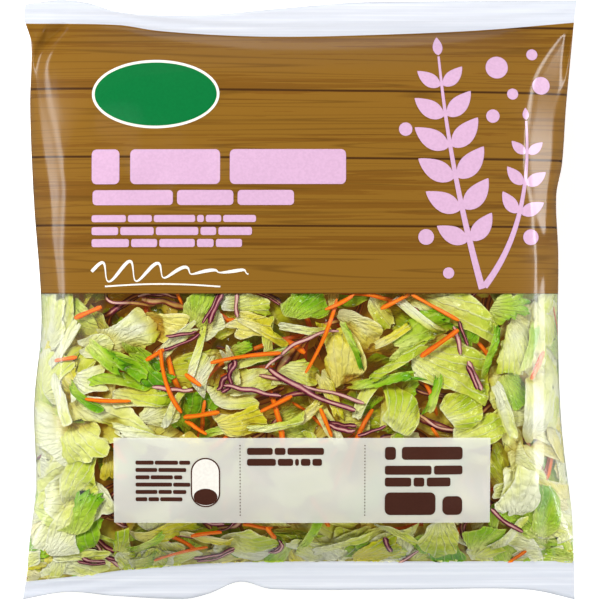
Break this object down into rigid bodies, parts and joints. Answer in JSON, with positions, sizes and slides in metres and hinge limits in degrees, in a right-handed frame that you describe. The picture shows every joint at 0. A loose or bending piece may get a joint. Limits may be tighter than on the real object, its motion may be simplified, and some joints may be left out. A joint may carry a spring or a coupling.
{
  "type": "bag of salad leaves",
  "caption": "Sealed clear film pillow bag of cut lettuce with shredded carrot and red cabbage, with a printed band over its upper half, lying on its back.",
  "frame": {"origin": "centre of the bag's plan box, on the table it lies on", "axes": "+Y from the bottom seal to the top seal, +X to the right as the front is read, +Z out of the printed front"},
  "size_m": [0.2496, 0.2698, 0.0643],
  "materials": {
    "clear_film": "clear glossy film over pale green salad",
    "printed_film": "glossy film printed brown inside",
    "ink": "glossy printed ink",
    "lettuce": "moist leaf",
    "carrot": "moist cut root",
    "red_cabbage": "moist leaf"
  },
  "bodies": {
    "root": {"salad_bag": "clear_film"}
  },
  "joints": []
}
